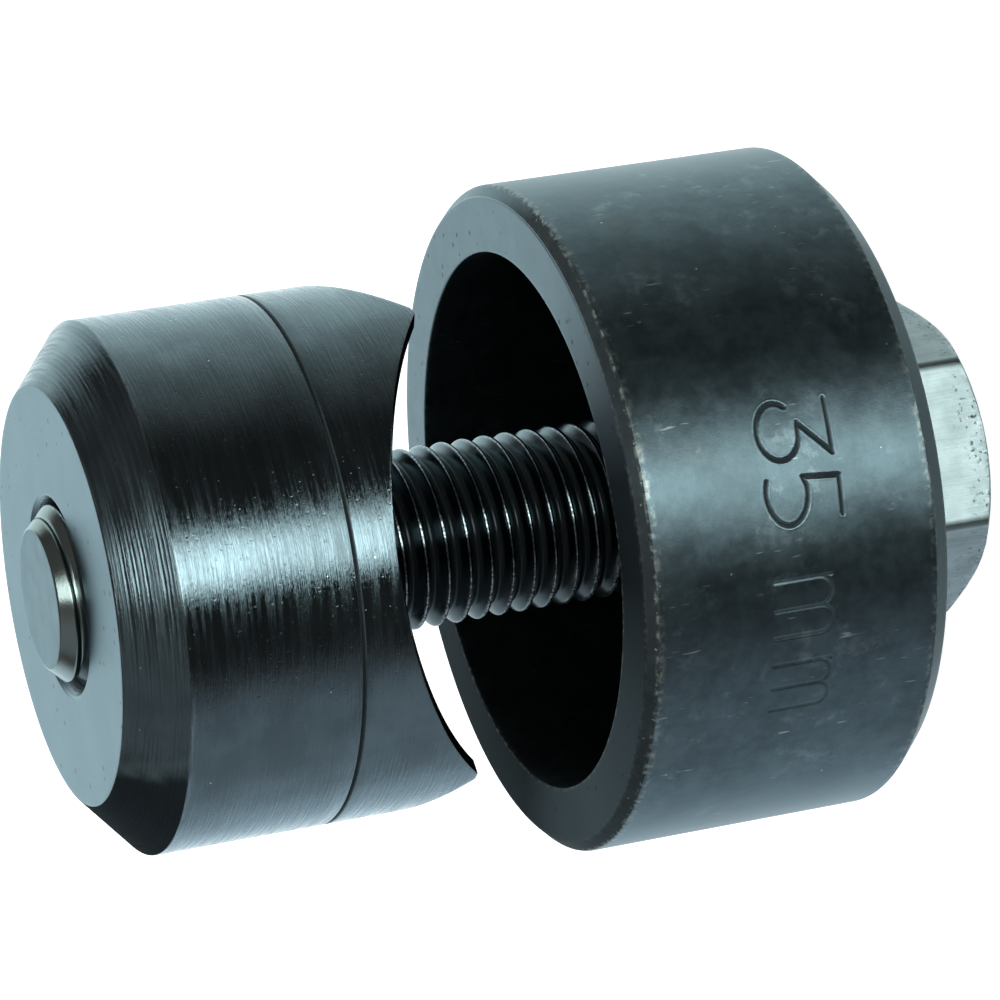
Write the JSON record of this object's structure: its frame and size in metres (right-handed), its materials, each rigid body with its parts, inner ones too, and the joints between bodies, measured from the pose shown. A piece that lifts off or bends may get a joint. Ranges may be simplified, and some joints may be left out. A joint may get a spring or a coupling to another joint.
{
  "type": "knockout punch",
  "caption": "Screw-driven sheet-metal knockout punch: a crown-edged round punch drawn into a cup die by a hex-head bolt through both.",
  "frame": {"origin": "centre of the bolt head's end face, on the common axis", "axes": "+Z along the common axis from the bolt's head towards the punch; a valley of the cutting rim faces -Y"},
  "size_m": [0.0448, 0.0448, 0.0635],
  "materials": {
    "punch_steel": "turned, black oxide, rubbed",
    "die_steel": "turned, black oxide, scratched",
    "bolt_steel": "blackened thread, bright worn flats on the head"
  },
  "bodies": {
    "die": {"die": "die_steel"},
    "draw_bolt": {"draw_bolt": "bolt_steel"},
    "punch": {"punch": "punch_steel"}
  },
  "joints": [
    {"name": "bolt_turn", "type": "hinge", "parent": "die", "child": "draw_bolt", "pos_m": [0, 0, 0.009], "axis": [0, 0, 1], "range_deg": [-2165, 3965]},
    {"name": "punch_draw", "type": "slide", "parent": "die", "child": "punch", "axis": [0, 0, 1], "range_m": [-0.0165, 0.009]}
  ],
  "couplings": [
    {"joint": "bolt_turn", "follows": "punch_draw", "rad_per_m": -4188.8}
  ]
}
